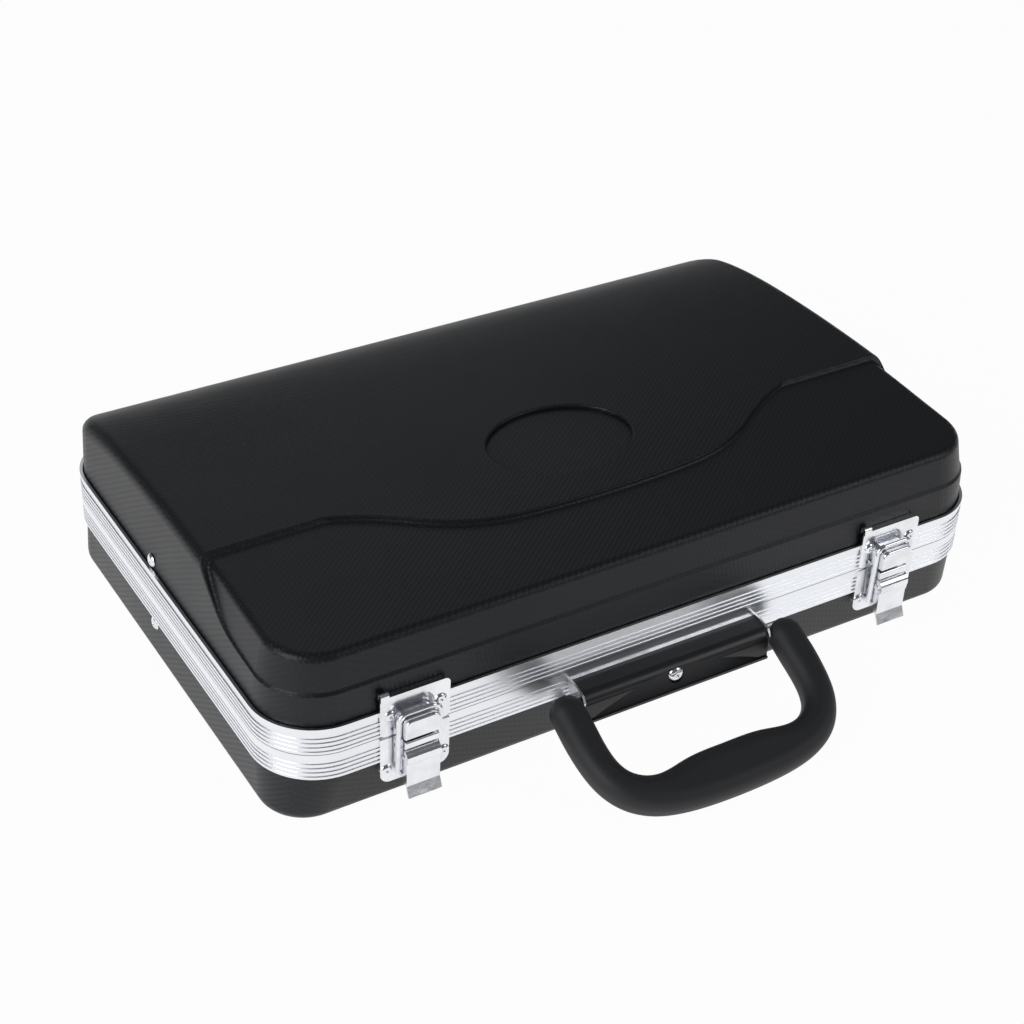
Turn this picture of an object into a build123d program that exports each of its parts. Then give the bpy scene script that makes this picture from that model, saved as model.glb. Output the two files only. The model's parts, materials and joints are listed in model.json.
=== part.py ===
from build123d import *
import math
import os

os.makedirs("parts", exist_ok=True)

# ---------------------------------------------------------------- driving sizes
# Millimetres. X runs along the case, the handle and latches are on the -Y side,
# Z = 0 is the table. "Height" and "level" are measured from the parting plane,
# "out" is measured outward from the front (or side) face of the metal frames,
# and an inset is measured inward from the plan outline of those frames.
case_length = 375.0
case_depth = 246.0
corner_radius = 30.0
parting_height = 41.0
lid_height = 52.5

# Metal frames round the two rims
frame_height = 13.5
flange_wall = 1.4
parting_gap = 0.15
rib_depth = 0.4
rib_width = 1.3
rib_pitch = 2.3
rib_count = 4
frame_lip = 2.2
inner_flange_wall = 1.2
tongue_wall = 1.2
tongue_inset = 2.4
tongue_height = 2.0
lid_flange_inset = 4.5
base_flange_inset = 4.0
web_wall = 1.4

# Moulded shells
shell_wall = 2.4
rim_clearance = 0.1
lid_draft = 3.0
lid_edge_radius = 6.0
base_edge_radius = 6.0
base_side_inset = 1.7
base_front_inset = 7.0
base_rear_inset = 3.2
base_foot_radius = 20.0
panel_step = 2.6
panel_draft = 11.0
panel_ledge_width = 1.0
panel_edge_radius = 4.0
panel_root_radius = 1.6
panel_brim_radius = 0.8
oval_half_length = 36.0
oval_half_width = 26.7
oval_centre_y = -30.0
oval_depth = 2.2
oval_edge_radius = 1.0

# Soft lining
lining_wall = 1.2
lining_gap = 0.1
pad_gap = 0.3
pad_level = 39.1
pad_side_gap = 12.0
pad_front_gap = 18.0
pad_bell_room = 44.0
stay_hole_gap = 0.3

# Hinges
hinge_spacing = 220.0
hinge_offset = 3.2
leaf_length = 45.0
leaf_height = 12.5
leaf_wall = 1.2
knuckle_radius = 2.8
knuckle_count = 5
knuckle_gap = 0.3
hinge_pin_radius = 1.5
pin_clearance = 0.05
pin_head_radius = 2.4
pin_head = 0.8
leaf_rivet_level = 7.5
leaf_rivet_pitch = 15.0
leaf_rivet_radius = 1.4
leaf_rivet_head = 2.3
leaf_rivet_height = 1.0
leaf_corner = 1.5

# Latches
latch_spacing = 252.0
plate_width = 33.0
plate_wall = 1.0
strike_top = 21.0
strike_bottom = 0.4
latch_plate_top = -0.8
latch_plate_bottom = -25.0
plate_corner = 5.0
strike_corner = 2.5
strike_flange_length = 27.0
strike_flange_depth = 2.1
lug_width = 4.0
lug_level = 21.9
lug_radius = 1.6
lug_wall = 0.9
lug_root = 19.8
plate_rivet_radius = 1.5
plate_rivet_head = 3.0
plate_rivet_height = 1.2
strike_rivet_half_pitch = 11.8
strike_rivet_level = 11.0
latch_rivet_half_pitch = 13.6
latch_rivet_level = -18.0
hook_width = 16.6
hook_out = 8.5
hook_bottom = 1.2
hook_corner = 3.0
bridge_bottom = -4.6
bridge_out = 7.5
bridge_round = 0.8
lever_width = 16.0
lever_wall = 1.0
lever_axis_out = 5.5
lever_axis_level = -9.5
lever_top_radius = 4.2
lever_face_out = 8.6
lever_inner_out = 1.6
lever_side_bottom = -24.0
lever_side_slope = 2.5
lever_tip_level = -29.0
lever_tip_out = 10.8
lever_pin_radius = 1.2
lever_pin_stand = 0.3
ear_wall = 1.0
ear_gap = 0.5
ear_radius = 2.6
ear_neck_top = 1.7
ear_neck_bottom = 4.7
wire_radius = 1.2
bail_axis_out = 3.6
bail_axis_level = -20.0
bail_loop_out = 4.8
bail_loop_level = 12.7
bail_half_width = 9.7
bail_corner = 4.0
bail_end_corner = 1.5
hook_clearance = 0.4

# Handle
handle_axis_out = 9.0
handle_axis_level = -8.0
arm_spacing = 116.6
arm_end = 5.5
arm_width = 15.4
grip_thickness = 16.0
grip_round = 7.0
arm_gap = 0.5
rod_past_arm = 4.0
table_gap = 0.05
handle_rod_radius = 2.0
carrier_half_length = 50.2
carrier_wall = 1.0
cover_front_out = 14.0
cover_top = -4.5
cover_bottom = -20.0
cover_lip = 1.3
arch_half_width = 46.0
arch_shoulder = 28.5
arch_shoulder_level = -12.0
arch_level = -7.5
arch_step_out = 9.6
arch_foot_out = 14.3
cover_rivet_out = 11.4
cover_rivet_level = -12.5
cover_rivet_radius = 2.0
cover_rivet_head = 4.0
cover_rivet_height = 1.6

# Lid stay on the left side
stay_axis_y = 13.5
stay_axis_level = 17.5
link_inset = 8.6
link_wall = 1.2
link_gap = 0.3
link_half_width = 4.5
stay_rivet_radius = 2.0
stay_rivet_head = 3.4
stay_head = 1.2
stay_shoulder_radius = 3.0
elbow_rivet_head = 3.0
elbow_rivet_height = 0.5

# Nest of the base: foam blocks on floor pads, with the hollows between them
nest_level = -2.5
nest_side_gap = 2.6
nest_foot_gap = 0.2
nest_end_wall = 9.5
stay_well = 13.0
floor_pad = 4.9
rear_row_rear = 110.5
rear_row_front = 65.5
middle_row_rear = 54.5
middle_row_front = 9.5
pocket_rear = -10.0
cradle_front = -44.0
mouthpiece_front = -80.0
reed_rear = -86.0
reed_front = -106.0
lower_joint_length = 262.0
upper_joint_length = 222.0
barrel_length = 67.0
mouthpiece_length = 92.0
mouthpiece_depth = 24.0
reed_depth = 16.0
bell_length = 110.0
bell_radius = 39.5
bell_throat_radius = 22.0
bell_waist_radius = 26.0
bell_flare_length = 22.0
bell_flare_slope = -0.6
bell_axis_level = 6.9
bell_axis_y = 14.0

# Rivets: shares of the head's radius and height, length of the closed end
rivet_dimple = 0.25
rivet_closed_head = 0.8
rivet_dome = 0.65
rivet_tail = 0.8
rivet_slack = 0.15

# Crown of the lid, rear part: distance from the rear face, drop below the top
rear_roof = [(-6, 50.0), (-1, 33.5), (4, 23.5), (18, 13.5), (38, 7.5), (60, 4.0), (82, 2.0), (110, 0.6)]
# Crown over the high panel and over the sunk front panel: distance from the front face, drop
high_roof = [(103, 0.0), (75, 0.5), (60, 1.2), (48, 1.9), (35, 2.8), (15, 4.4), (-20, 7.5)]
sunk_roof = [(103, 2.6), (75, 2.9), (60, 3.6), (48, 4.3), (35, 5.0), (20, 5.8), (8, 6.5), (-20, 8.4)]
# Edge of the sunk panel seen from above: distance from the middle, distance from the front face
panel_edge = [
    (0, 49.4), (35, 50.6), (58, 53.4), (74, 58.8), (87, 66), (99, 74), (115, 82.6), (134, 88.8), (155, 92), (178, 93)
]
# Edge of the sunk panel down the side walls: distance from the front face, level
panel_shoulder = [(87, 55.0), (85, 50.0), (80, 45.0), (72, 39.0), (64, 34.0), (55, 31.0)]
panel_ledge = [(43, 29.6), (23, 28.7), (-10, 28.5)]
# Handle bracket from the side: out, level
carrier_cheek = [(0, -3.6), (5, -3.4), (12, -4.8), (14.2, -8.0), (13.4, -11.5), (9, -13.2), (0, -13.5)]
cover_crown = [(-6, -4.5), (3, -4.5), (9.0, -5.4)]
cover_nose = [(9.0, -5.4), (12.4, -7.4), (13.6, -10.5)]
cover_face = [(13.6, -10.5), (14, -18.7), (14.8, -18.7), (14.8, -20.0), (2, -27.0), (-6, -27.0), (-6, -4.5)]
# Outlines of the grip in its own plane: distance from its middle, distance from the rod
grip_outside = [(66.2, 16), (65.4, 30), (61.8, 44), (55.3, 53.5), (46, 60), (32, 64.2), (16, 65.9), (0, 66.3)]
grip_inside = [(50.6, 16), (50.4, 30), (47.2, 39.5), (38.5, 44.8), (20, 43.5), (0, 42.8)]

# ------------------------------------------------------------- worked-out sizes
half_length = case_length / 2
half_depth = case_depth / 2
hinge_y = half_depth + hinge_offset
rim_inset = flange_wall + rim_clearance
web_level = tongue_height + 0.9
lid_wall_level = web_level + web_wall + rim_clearance
front_slope = (base_front_inset - rim_inset) / (parting_height - frame_height)
ledge_level = panel_ledge[0][1]
ledge_rise = ledge_level - lid_wall_level
ledge_lean = math.tan(math.radians(panel_draft)) - math.tan(math.radians(lid_draft))
panel_foot_inset = rim_inset + panel_ledge_width - ledge_rise * ledge_lean
crown_steps = 28
link_inset_inner = link_inset + link_wall + link_gap
elbow_y = 2 * stay_axis_y - hinge_y
front_axis_z = parting_height + handle_axis_level
skin_bore = 14.0
overshoot = 1.0
nest_left = -half_length + stay_well + nest_end_wall
nest_right = half_length - rim_inset - shell_wall - nest_side_gap - nest_end_wall
nest_top = parting_height + nest_level
nest_bottom = shell_wall + nest_foot_gap
floor_top = nest_bottom + floor_pad


def level(height):
    """Plane parallel to the table at a height above the parting plane."""
    return Plane.XY.offset(parting_height + height)


def front_seat(x, out, height):
    """Plane facing forward, a distance out from the front face of the frames."""
    return Plane(origin=(x, -half_depth - out, parting_height + height), x_dir=(1, 0, 0), z_dir=(0, -1, 0))


def rear_seat(x, out, height):
    """Plane facing backward, a distance out from the rear face of the frames."""
    return Plane(origin=(x, half_depth + out, parting_height + height), x_dir=(-1, 0, 0), z_dir=(0, 1, 0))


def left_seat(y, out, height):
    """Plane facing left, a distance out from the left face of the frames."""
    return Plane(origin=(-half_length - out, y, parting_height + height), x_dir=(0, -1, 0), z_dir=(-1, 0, 0))


def cross_seat(x, out, height):
    """Plane facing along the case, at a point in front of the frames."""
    return Plane(origin=(x, -half_depth - out, parting_height + height), x_dir=(0, -1, 0), z_dir=(1, 0, 0))


def front_point(out, height):
    """Point of a profile drawn on Plane.YZ, out from the front face and up from the parting plane."""
    return (-half_depth - out, parting_height + height)


def base_inset(height, foot_inset):
    """Inset of one wall of the base's outer skin at a level below the frame."""
    fall = (-height - frame_height) / (parting_height - frame_height)
    return rim_inset + fall * (foot_inset - rim_inset)


def lid_inset(height):
    """Inset of the lid's outer skin at a level above its rim."""
    return rim_inset + (height - lid_wall_level) * math.tan(math.radians(lid_draft))


def band(outer, inner, bottom, top, mode=Mode.ADD):
    """Band right round the case between two insets and two levels, in the open part."""
    with BuildSketch(level(bottom)) as strip:
        RectangleRounded(case_length - 2 * outer, case_depth - 2 * outer, corner_radius - outer)
        RectangleRounded(
            case_length - 2 * inner, case_depth - 2 * inner, corner_radius - inner, mode=Mode.SUBTRACT
        )
    extrude(strip.sketch, amount=top - bottom, mode=mode)


def outline(profile):
    """Corner points of a side profile given as distances out and levels."""
    return [front_point(out, height) for out, height in profile]


def post(seat, radius, length, mode=Mode.ADD):
    """Round bar standing on a plane, in the open part."""
    with BuildSketch(seat) as disc:
        Circle(radius)
    extrude(disc.sketch, amount=length, mode=mode)


def bore(seat, radius):
    """Hole through the thin wall behind a seat, in the open part."""
    post(seat.offset(-skin_bore), radius, 2 * skin_bore, mode=Mode.SUBTRACT)


def rivet(seat, head, head_height, shank, grip):
    """Domed rivet in the open part: seat is under its head, grip is the stack that it holds."""
    section_plane = Plane(origin=seat.origin, x_dir=seat.x_dir, z_dir=-seat.y_dir)
    dimple = head * rivet_dimple
    closed = head * rivet_closed_head
    end = -grip - rivet_tail
    with BuildSketch(section_plane) as section:
        with BuildLine():
            Polyline((dimple, head_height), (0, head_height - dimple), (0, end), (closed, end))
            Polyline((closed, end), (closed, -grip), (shank, -grip), (shank, 0), (head, 0))
            ThreePointArc((head, 0), (closed, head_height * rivet_dome), (dimple, head_height))
        make_face()
    revolve(section.sketch, axis=Axis(seat.origin, seat.z_dir))


def save(piece, name):
    """Label a finished piece and write it as its own file."""
    piece.label = name
    export_step(piece, f"parts/{name}.step")


# ----------------------------------------------------------------- shared forms
def crown_line(points, shrink):
    """Points of a crown line moved in by shrink, square to the line."""
    if not shrink:
        return points
    crown = Spline(*points)
    moved = []
    for step in range(crown_steps + 1):
        place = crown.position_at(step / crown_steps)
        along = crown.tangent_at(step / crown_steps)
        moved.append((place.X - shrink * along.Y, place.Y + shrink * along.X))
    return moved


def roof_prism(front, lowered, shrink):
    """Everything under one crown line of the lid, the full length of the case."""
    top = parting_height + lid_height
    rear = [(half_depth - d, top - fall - lowered) for d, fall in rear_roof]
    fore = [(d - half_depth, top - fall) for d, fall in front]
    line = crown_line(rear + fore, shrink)
    with BuildPart() as prism:
        with BuildSketch(Plane.YZ.offset(-case_length)):
            with BuildLine():
                Spline(*line)
                Polyline(line[-1], (line[-1][0], 0), (line[0][0], 0), line[0])
            make_face()
        extrude(amount=2 * case_length)
    return prism.part


def lid_block(inset, prism, radius, draft):
    """Drafted block of the lid's plan, cut to a crown and rounded along its top edges."""
    with BuildPart() as block:
        with BuildSketch(level(lid_wall_level)):
            RectangleRounded(case_length - 2 * inset, case_depth - 2 * inset, corner_radius - inset)
        extrude(amount=lid_height + frame_height, taper=draft)
        add(prism, mode=Mode.INTERSECT)
        crown = block.faces().sort_by(Axis.Z)[-1]
        fillet(crown.edges(), radius=radius)
    return block.part


def sunk_panel(shrink, block, radius):
    """What the sunk front panel takes out of the high lid form."""
    side = [(x, d - half_depth + shrink) for x, d in panel_edge]
    edge = [(-x, y) for x, y in reversed(side[1:])] + side
    far_x = case_length
    far_y = -case_depth
    side_line = panel_shoulder + panel_ledge
    shoulder = [(d - half_depth + shrink, parting_height + h - shrink) for d, h in side_line]
    over = 2 * (parting_height + lid_height)
    with BuildPart() as panel:
        with BuildSketch(Plane.XY):
            with BuildLine():
                Spline(*edge, tangents=[(1, 0), (1, 0)])
                Polyline(edge[-1], (far_x, edge[-1][1]), (far_x, far_y), (-far_x, far_y))
                Polyline((-far_x, far_y), (-far_x, edge[0][1]), edge[0])
            make_face()
        extrude(amount=over)
        with BuildSketch(Plane.YZ.offset(-case_length)):
            with BuildLine():
                Spline(*shoulder)
                Polyline(shoulder[-1], (far_y, shoulder[-1][1]), (far_y, over))
                Polyline((far_y, over), (shoulder[0][0], over), shoulder[0])
            make_face()
        extrude(amount=2 * case_length, mode=Mode.INTERSECT)
        add(block, mode=Mode.SUBTRACT)
        if radius:
            fillet(panel.edges(Select.NEW), radius=radius)
    return panel.part


def lid_form(shrink, dressed=False):
    """Body inside the lid's outer skin, moved in by shrink, with sunk panel and oval recess."""
    high_radius = max(lid_edge_radius - shrink, shell_wall)
    high = lid_block(rim_inset + shrink, roof_prism(high_roof, 0, shrink), high_radius, lid_draft)
    low_radius = max(panel_edge_radius - shrink, shell_wall)
    low_prism = roof_prism(sunk_roof, panel_step, shrink)
    low = lid_block(panel_foot_inset + shrink, low_prism, low_radius, panel_draft)
    panel = sunk_panel(shrink, low, panel_root_radius if dressed else 0)
    with BuildPart() as form:
        add(high)
        add(panel, mode=Mode.SUBTRACT)
        if dressed:
            fillet(form.edges(Select.NEW), radius=panel_brim_radius)
        with BuildSketch(level(lid_height - oval_depth - shrink)):
            with Locations((0, oval_centre_y)):
                Ellipse(oval_half_length + shrink, oval_half_width + shrink)
        extrude(amount=lid_height, mode=Mode.SUBTRACT)
        if dressed:
            fillet(form.edges(Select.NEW), radius=oval_edge_radius)
    return form.part


def base_form(shrink, floor, top):
    """Body inside the base's outer skin, moved in by shrink, up to a level."""
    rim = rim_inset + shrink
    foot_length = case_length - 2 * (base_side_inset + shrink)
    foot_depth = case_depth - base_front_inset - base_rear_inset - 2 * shrink
    foot_y = (base_front_inset - base_rear_inset) / 2
    with BuildPart() as form:
        with BuildSketch(level(-frame_height)):
            RectangleRounded(case_length - 2 * rim, case_depth - 2 * rim, corner_radius - rim)
        extrude(amount=frame_height + top)
        with BuildSketch(level(-frame_height)):
            RectangleRounded(case_length - 2 * rim, case_depth - 2 * rim, corner_radius - rim)
        with BuildSketch(level(floor - parting_height)):
            with Locations((0, foot_y)):
                RectangleRounded(foot_length, foot_depth, base_foot_radius - shrink)
        loft(ruled=True)
        foot_edges = form.edges().group_by(Axis.Z)[0]
        fillet(foot_edges, radius=max(base_edge_radius - shrink, shell_wall))
    return form.part


# ----------------------------------------------------- seats of the fastenings
leaf_rivet_steps = [-leaf_rivet_pitch, 0.0, leaf_rivet_pitch]
hinge_centres = [-hinge_spacing / 2, hinge_spacing / 2]
latch_centres = [-latch_spacing / 2, latch_spacing / 2]
leaf_rivet_places = [centre + step for centre in hinge_centres for step in leaf_rivet_steps]
base_leaf_seats = [rear_seat(x, leaf_wall, -leaf_rivet_level) for x in leaf_rivet_places]
lid_leaf_seats = [rear_seat(x, leaf_wall, leaf_rivet_level) for x in leaf_rivet_places]
base_stay_inset = base_inset(stay_rivet_head - stay_axis_level, base_side_inset) - rivet_slack
lid_stay_inset = lid_inset(stay_axis_level - stay_rivet_head) - rivet_slack
base_stay_seat = left_seat(stay_axis_y, -base_stay_inset, -stay_axis_level)
lid_stay_seat = left_seat(stay_axis_y, -lid_stay_inset, stay_axis_level)
cover_rivet_seat = front_seat(0, cover_rivet_out, cover_rivet_level)
cover_rivet_reach = cover_rivet_out + 1.5 * skin_bore


def strike_seats(centre):
    """Seats of the two rivets of one strike plate."""
    return [front_seat(centre + s * strike_rivet_half_pitch, plate_wall, strike_rivet_level) for s in (-1, 1)]


def plate_seats(centre):
    """Seats of the two rivets of one latch base plate."""
    return [front_seat(centre + s * latch_rivet_half_pitch, plate_wall, latch_rivet_level) for s in (-1, 1)]


# ------------------------------------------------------------------ base frame
with BuildPart() as base_frame:
    band(rib_depth, flange_wall, -frame_height, -parting_gap)
    band(0, rib_depth, -parting_gap - frame_lip * 2, -parting_gap)
    for i in range(rib_count):
        rib_top = -frame_height + rib_width + i * rib_pitch
        band(0, rib_depth, rib_top - rib_width, rib_top)
    band(rib_depth, base_flange_inset + inner_flange_wall, -parting_gap - web_wall, -parting_gap)
    band(base_flange_inset, base_flange_inset + inner_flange_wall, -frame_height, -parting_gap)
    band(tongue_inset, tongue_inset + tongue_wall, -parting_gap - web_wall, tongue_height)
    for seat in base_leaf_seats:
        bore(seat, leaf_rivet_radius)
    post(cover_rivet_seat, cover_rivet_radius, -cover_rivet_reach, mode=Mode.SUBTRACT)
save(base_frame.part, "base_frame")

# ------------------------------------------------------------------- lid frame
with BuildPart() as lid_frame:
    band(rib_depth, flange_wall, parting_gap, frame_height)
    band(0, rib_depth, frame_height - frame_lip, frame_height)
    for i in range(rib_count):
        rib_bottom = parting_gap + i * rib_pitch
        band(0, rib_depth, rib_bottom, rib_bottom + rib_width)
    band(rib_depth, lid_flange_inset + inner_flange_wall, web_level, web_level + web_wall)
    band(lid_flange_inset, lid_flange_inset + inner_flange_wall, parting_gap, frame_height)
    for seat in lid_leaf_seats:
        bore(seat, leaf_rivet_radius)
    for centre in latch_centres:
        for seat in strike_seats(centre):
            bore(seat, plate_rivet_radius)
save(lid_frame.part, "lid_frame")

# ------------------------------------------------------------------ base shell
base_rim_top = -parting_gap - web_wall - rim_clearance
base_skin = base_form(0.0, 0.0, base_rim_top)
base_hollow = base_form(shell_wall, shell_wall, base_rim_top)
with BuildPart() as base_shell:
    add(base_skin)
    add(base_hollow, mode=Mode.SUBTRACT)
    for seat in base_leaf_seats:
        bore(seat, leaf_rivet_radius)
    for centre in latch_centres:
        for seat in plate_seats(centre):
            bore(seat, plate_rivet_radius)
    bore(base_stay_seat, stay_rivet_radius)
    post(cover_rivet_seat, cover_rivet_radius, -cover_rivet_reach, mode=Mode.SUBTRACT)
save(base_shell.part, "base_shell")

# ------------------------------------------------------------------- lid shell
lid_skin = lid_form(0.0, dressed=True)
lid_hollow = lid_form(shell_wall)
with BuildPart() as lid_shell:
    add(lid_skin)
    add(lid_hollow, mode=Mode.SUBTRACT)
    for seat in lid_leaf_seats:
        bore(seat, leaf_rivet_radius)
    for centre in latch_centres:
        for seat in strike_seats(centre):
            bore(seat, plate_rivet_radius)
    bore(lid_stay_seat, stay_rivet_radius)
save(lid_shell.part, "lid_shell")

# ----------------------------------------------------------------- lid linings
lining_outer = lid_form(shell_wall + lining_gap)
lining_inner = lid_form(shell_wall + lining_gap + lining_wall)
with BuildPart() as lid_lining:
    add(lining_outer)
    add(lining_inner, mode=Mode.SUBTRACT)
    with BuildSketch(level(0)):
        Rectangle(2 * case_length, 2 * case_depth)
    extrude(amount=frame_height + pad_gap, mode=Mode.SUBTRACT)
    bore(lid_stay_seat, stay_shoulder_radius + stay_hole_gap)
save(lid_lining.part, "lid_lining")

pad_shrink = shell_wall + lining_gap + lining_wall + pad_gap
pad_left = -half_length + pad_side_gap
pad_right = nest_right - pad_bell_room
with BuildPart() as lid_pad:
    with BuildSketch(level(pad_level)):
        with Locations(((pad_left + pad_right) / 2, (pad_front_gap - pad_side_gap) / 2)):
            pad_depth = case_depth - pad_side_gap - pad_front_gap
            RectangleRounded(pad_right - pad_left, pad_depth, corner_radius - pad_side_gap)
    extrude(amount=lid_height - pad_level)
    add(roof_prism(sunk_roof, panel_step, pad_shrink), mode=Mode.INTERSECT)
save(lid_pad.part, "lid_pad")

# ------------------------------------------------------- nest inside the base
nest_form = base_form(shell_wall + nest_side_gap, nest_bottom, nest_level)
inside_left = nest_left - nest_end_wall
far_edge = case_length


def nest_rail(left, right, front, rear):
    """Edge block of the nest: what the nest's own outline keeps of a box."""
    with BuildPart() as rail:
        add(nest_form)
        with BuildSketch(Plane.XY):
            with Locations(((left + right) / 2, (front + rear) / 2)):
                Rectangle(right - left, rear - front)
        extrude(amount=2 * parting_height, mode=Mode.INTERSECT)
    return rail.part


def nest_block(left, right, front, rear, bottom, top, hollow=None):
    """Foam block between the rails of the nest."""
    with BuildPart() as block:
        with BuildSketch(Plane.XY.offset(bottom)):
            with Locations(((left + right) / 2, (front + rear) / 2)):
                Rectangle(right - left, rear - front)
        extrude(amount=top - bottom)
        add(nest_form, mode=Mode.INTERSECT)
        if hollow:
            add(hollow, mode=Mode.SUBTRACT)
    return block.part


bell_plane = Plane(
    origin=(nest_right, bell_axis_y, parting_height + bell_axis_level), x_dir=(-1, 0, 0), z_dir=(0, 1, 0)
)
with BuildPart() as bell_hollow:
    with BuildSketch(bell_plane):
        with BuildLine():
            Polyline((bell_length, 0), (0, 0), (0, bell_radius), (bell_flare_length, bell_radius))
            Spline(
                (bell_flare_length, bell_radius),
                (bell_length / 2, bell_waist_radius),
                (bell_length, bell_throat_radius),
                tangents=[(1, bell_flare_slope), (1, 0)],
            )
            Line((bell_length, bell_throat_radius), (bell_length, 0))
        make_face()
    revolve(axis=Axis(bell_plane.origin, bell_plane.x_dir))

cradle_left = nest_left + upper_joint_length
barrel_left = nest_right - barrel_length
lower_joint_right = nest_left + lower_joint_length
tray_left = nest_right - mouthpiece_length
mouthpiece_floor = nest_top - mouthpiece_depth
reed_floor = nest_top - reed_depth
nest_rails = {
    "nest_left_rail": (inside_left, nest_left, -far_edge, far_edge),
    "nest_right_rail": (nest_right, far_edge, -far_edge, far_edge),
    "nest_rear_rail": (nest_left, nest_right, rear_row_rear, far_edge),
    "nest_front_rail": (nest_left, nest_right, -far_edge, reed_front),
}
nest_blocks = {
    "nest_left_floor": (nest_left, cradle_left, reed_front, rear_row_rear, nest_bottom, floor_top),
    "nest_right_floor": (cradle_left, nest_right, middle_row_rear, rear_row_rear, nest_bottom, floor_top),
    "nest_rear_partition": (nest_left, nest_right, middle_row_rear, rear_row_front, floor_top, nest_top),
    "nest_barrel_divider": (
        lower_joint_right, barrel_left, rear_row_front, rear_row_rear, floor_top, nest_top
    ),
    "nest_middle_partition": (nest_left, cradle_left, pocket_rear, middle_row_front, floor_top, nest_top),
    "nest_pocket_divider": (cradle_left, tray_left, reed_front, cradle_front, nest_bottom, nest_top),
    "nest_mouthpiece_step": (
        tray_left, nest_right, mouthpiece_front, cradle_front, nest_bottom, mouthpiece_floor
    ),
    "nest_reed_rail": (tray_left, nest_right, reed_rear, mouthpiece_front, nest_bottom, nest_top),
    "nest_reed_step": (tray_left, nest_right, reed_front, reed_rear, nest_bottom, reed_floor),
}
cradle_box = (cradle_left, nest_right, cradle_front, middle_row_rear, nest_bottom, nest_top)
for name, limits in nest_rails.items():
    save(nest_rail(*limits), name)
for name, limits in nest_blocks.items():
    save(nest_block(*limits), name)
save(nest_block(*cradle_box, hollow=bell_hollow.part), "nest_bell_cradle")

# --------------------------------------------------------------------- hinges
knuckle_length = leaf_length / knuckle_count
knuckle_relief = knuckle_radius + knuckle_gap


def hinge_line(x):
    """Plane square to the hinge axis at a place along it."""
    return Plane(origin=(x, hinge_y, parting_height), z_dir=(1, 0, 0))


def hinge_leaf(centre, up):
    """One leaf with its knuckles; up is 1 for the lid's leaf and -1 for the base's."""
    own = range(knuckle_count)[(1 if up > 0 else 0) :: 2]
    other = range(knuckle_count)[(0 if up > 0 else 1) :: 2]
    left = centre - leaf_length / 2
    with BuildPart() as leaf:
        with BuildSketch(rear_seat(centre, 0, up * (leaf_height + knuckle_gap) / 2)):
            RectangleRounded(leaf_length, leaf_height - knuckle_gap, leaf_corner)
        extrude(amount=leaf_wall)
        for k in other:
            clear = hinge_line(left + k * knuckle_length - knuckle_gap / 2)
            post(clear, knuckle_relief, knuckle_length + knuckle_gap, mode=Mode.SUBTRACT)
        for k in own:
            start = 0 if k == 0 else knuckle_gap / 2
            end = 0 if k == knuckle_count - 1 else knuckle_gap / 2
            barrel = hinge_line(left + k * knuckle_length + start)
            post(barrel, knuckle_radius, knuckle_length - start - end)
        pin_hole = hinge_pin_radius + pin_clearance
        post(hinge_line(left - overshoot), pin_hole, leaf_length + 2 * overshoot, mode=Mode.SUBTRACT)
        for s in leaf_rivet_steps:
            bore(rear_seat(centre + s, leaf_wall, up * leaf_rivet_level), leaf_rivet_radius)
    return leaf.part


for side, centre in zip(("left", "right"), hinge_centres):
    save(hinge_leaf(centre, -1), f"hinge_{side}_base_leaf")
    save(hinge_leaf(centre, 1), f"hinge_{side}_lid_leaf")
    with BuildPart() as hinge_pin:
        left_end = hinge_line(centre - leaf_length / 2)
        post(left_end.offset(-pin_head), hinge_pin_radius, leaf_length + 2 * pin_head)
        post(left_end.offset(-pin_head), pin_head_radius, pin_head)
        post(left_end.offset(leaf_length), pin_head_radius, pin_head)
    save(hinge_pin.part, f"hinge_{side}_pin")

with BuildPart() as hinge_base_rivets:
    for seat in base_leaf_seats:
        grip = leaf_wall + base_flange_inset + inner_flange_wall + rivet_slack
        rivet(seat, leaf_rivet_head, leaf_rivet_height, leaf_rivet_radius, grip)
save(hinge_base_rivets.part, "hinge_base_rivets")

with BuildPart() as hinge_lid_rivets:
    for seat in lid_leaf_seats:
        grip = leaf_wall + lid_flange_inset + inner_flange_wall + rivet_slack
        rivet(seat, leaf_rivet_head, leaf_rivet_height, leaf_rivet_radius, grip)
save(hinge_lid_rivets.part, "hinge_lid_rivets")

# -------------------------------------------------------------------- latches
hook_top = bail_loop_level - wire_radius - hook_clearance


def strike_plate(centre):
    """Plate on the lid frame with the block that the wire loop hooks over."""
    height = strike_top - strike_bottom
    with BuildPart() as strike:
        with BuildSketch(front_seat(centre, 0, strike_bottom + height / 2)):
            RectangleRounded(plate_width, height, strike_corner)
        extrude(amount=plate_wall)
        with BuildSketch(level(strike_top - plate_wall)):
            with Locations((centre, -half_depth + strike_flange_depth / 2)):
                Rectangle(strike_flange_length, strike_flange_depth)
        extrude(amount=plate_wall)
        with BuildSketch(Plane.YZ.offset(centre - plate_width / 2)) as lug:
            with Locations(front_point(0, lug_level)):
                Circle(lug_radius)
                Circle(lug_radius - lug_wall, mode=Mode.SUBTRACT)
            with Locations(front_point(0, (lug_level + lug_root) / 2)):
                Rectangle(2 * lug_radius, lug_level - lug_root)
                Rectangle(2 * (lug_radius - lug_wall), lug_level - lug_root, mode=Mode.SUBTRACT)
        extrude(amount=lug_width)
        hook_height = hook_top - hook_bottom
        with BuildSketch(front_seat(centre, plate_wall, hook_bottom + hook_height / 2)):
            RectangleRounded(hook_width, hook_height, hook_corner)
            with Locations((0, -hook_height / 4)):
                Rectangle(hook_width, hook_height / 2)
        extrude(amount=hook_out - plate_wall)
        hook_rim = strike.faces().sort_by(Axis.Y)[0].edges()
        fillet(hook_rim, radius=plate_wall)
        for seat in strike_seats(centre):
            bore(seat, plate_rivet_radius)
    return strike.part


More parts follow.
